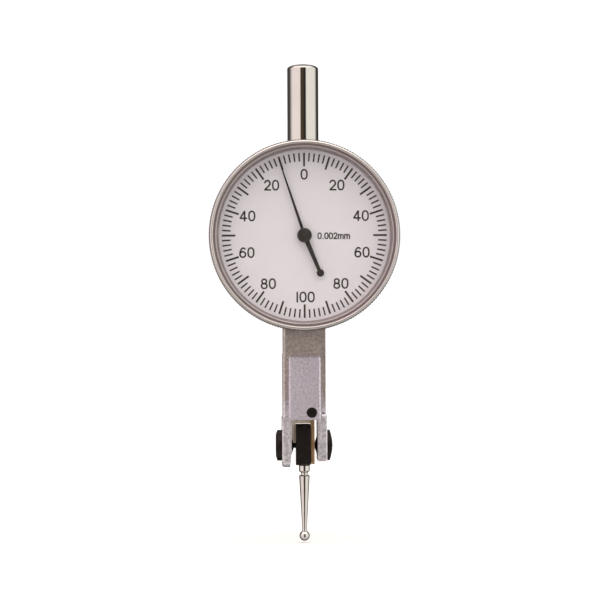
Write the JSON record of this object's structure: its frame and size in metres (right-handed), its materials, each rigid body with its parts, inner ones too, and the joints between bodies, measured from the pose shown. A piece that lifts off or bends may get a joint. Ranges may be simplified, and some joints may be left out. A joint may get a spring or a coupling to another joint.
{
  "type": "dial test indicator",
  "caption": "Lever-type dial test indicator with a mounting stem on top, a round turning dial, a dovetailed body bar and a swivelling ball stylus in a fork.",
  "frame": {"origin": "on the stem's axis, where the stem leaves the round case", "axes": "+Z along the stem, away from the case; +X across the dial, to its right as the dial is read; +Y from the dial to the back of the case"},
  "size_m": [0.0362, 0.014, 0.0915],
  "materials": {
    "satin_chrome": "matt satin chrome",
    "dovetail_chrome": "fine ground chrome",
    "bezel_chrome": "satin chrome, turned",
    "polished_steel": "polished",
    "screw_steel": "bright",
    "spring_steel": "blued grey",
    "black_oxide": "black oxide, slight sheen",
    "lever_brass": "dull brass",
    "movement_brass": "lacquered brass",
    "ruby": "polished synthetic ruby",
    "crystal": "clear",
    "gasket": "matt black",
    "dial_enamel": "pale grey-white, matt",
    "pointer_black": "matt black"
  },
  "bodies": {
    "body": {"body_casting": "satin_chrome", "stem": "polished_steel", "pivot_side_plate": "satin_chrome", "side_plate_screws": "screw_steel", "side_cover": "satin_chrome", "side_cover_screws": "screw_steel", "dovetail_plate": "dovetail_chrome", "dovetail_screw": "black_oxide", "pivot_screw_left": "black_oxide", "pivot_screw_right": "black_oxide", "pivot_locknut_left": "black_oxide", "pivot_locknut_right": "black_oxide", "rear_cover": "satin_chrome", "rear_cover_screws": "screw_steel", "movement_plate": "movement_brass", "movement_plate_screws": "screw_steel", "rear_cock": "movement_brass", "cock_screw": "screw_steel", "crown_bearing_posts": "movement_brass", "jewel_bearings": "ruby", "lever_stop_pins": "screw_steel", "return_spring": "spring_steel", "return_spring_screw": "screw_steel", "bezel_spring_ring": "spring_steel", "hairspring": "spring_steel", "hairspring_stud": "movement_brass"},
    "bezel_body": {"bezel": "bezel_chrome", "crystal": "crystal", "crystal_gasket": "gasket", "dial_plate": "dial_enamel"},
    "lever_body": {"measuring_lever": "lever_brass", "sector_gear": "spring_steel", "sector_rivets": "movement_brass", "swivel_washer": "spring_steel"},
    "stylus_body": {"stylus_block": "black_oxide", "contact_stylus": "polished_steel", "contact_ball": "polished_steel"},
    "crown_body": {"crown_arbor": "screw_steel", "crown_wheel": "movement_brass"},
    "transfer_body": {"transfer_arbor": "screw_steel", "transfer_wheel": "movement_brass"},
    "pointer_body": {"centre_arbor": "screw_steel", "hairspring_collet": "movement_brass", "pointer": "pointer_black", "pointer_hub": "pointer_black"}
  },
  "joints": [
    {"name": "bezel_turn", "type": "hinge", "parent": "body", "child": "bezel_body", "pos_m": [0, -0.0062, -0.017], "axis": [0, 1, 0], "continuous": true},
    {"name": "lever_swing", "type": "hinge", "parent": "body", "child": "lever_body", "pos_m": [0, 0, -0.05712], "axis": [-1, 0, 0], "range_deg": [0, 0.922], "stiffness_Nm_per_rad": 0.025, "springref_deg": -5.73},
    {"name": "stylus_swivel", "type": "hinge", "parent": "lever_body", "child": "stylus_body", "pos_m": [0, 0, -0.05712], "axis": [1, 0, 0], "range_deg": [-105, 105]},
    {"name": "crown_spin", "type": "hinge", "parent": "body", "child": "crown_body", "pos_m": [0, 0, -0.02127], "axis": [1, 0, 0], "range_deg": [-1, 37]},
    {"name": "transfer_spin", "type": "hinge", "parent": "body", "child": "transfer_body", "pos_m": [0.00015, -0.003, -0.02127], "axis": [0, 1, 0], "range_deg": [-137, 2]},
    {"name": "pointer_spin", "type": "hinge", "parent": "body", "child": "pointer_body", "pos_m": [0, -0.007, -0.017], "axis": [0, 1, 0], "range_deg": [-2, 506]}
  ],
  "couplings": [
    {"joint": "crown_spin", "follows": "lever_swing", "ratio": 38.833},
    {"joint": "transfer_spin", "follows": "lever_swing", "ratio": -145.62},
    {"joint": "pointer_spin", "follows": "lever_swing", "ratio": 546.09}
  ]
}
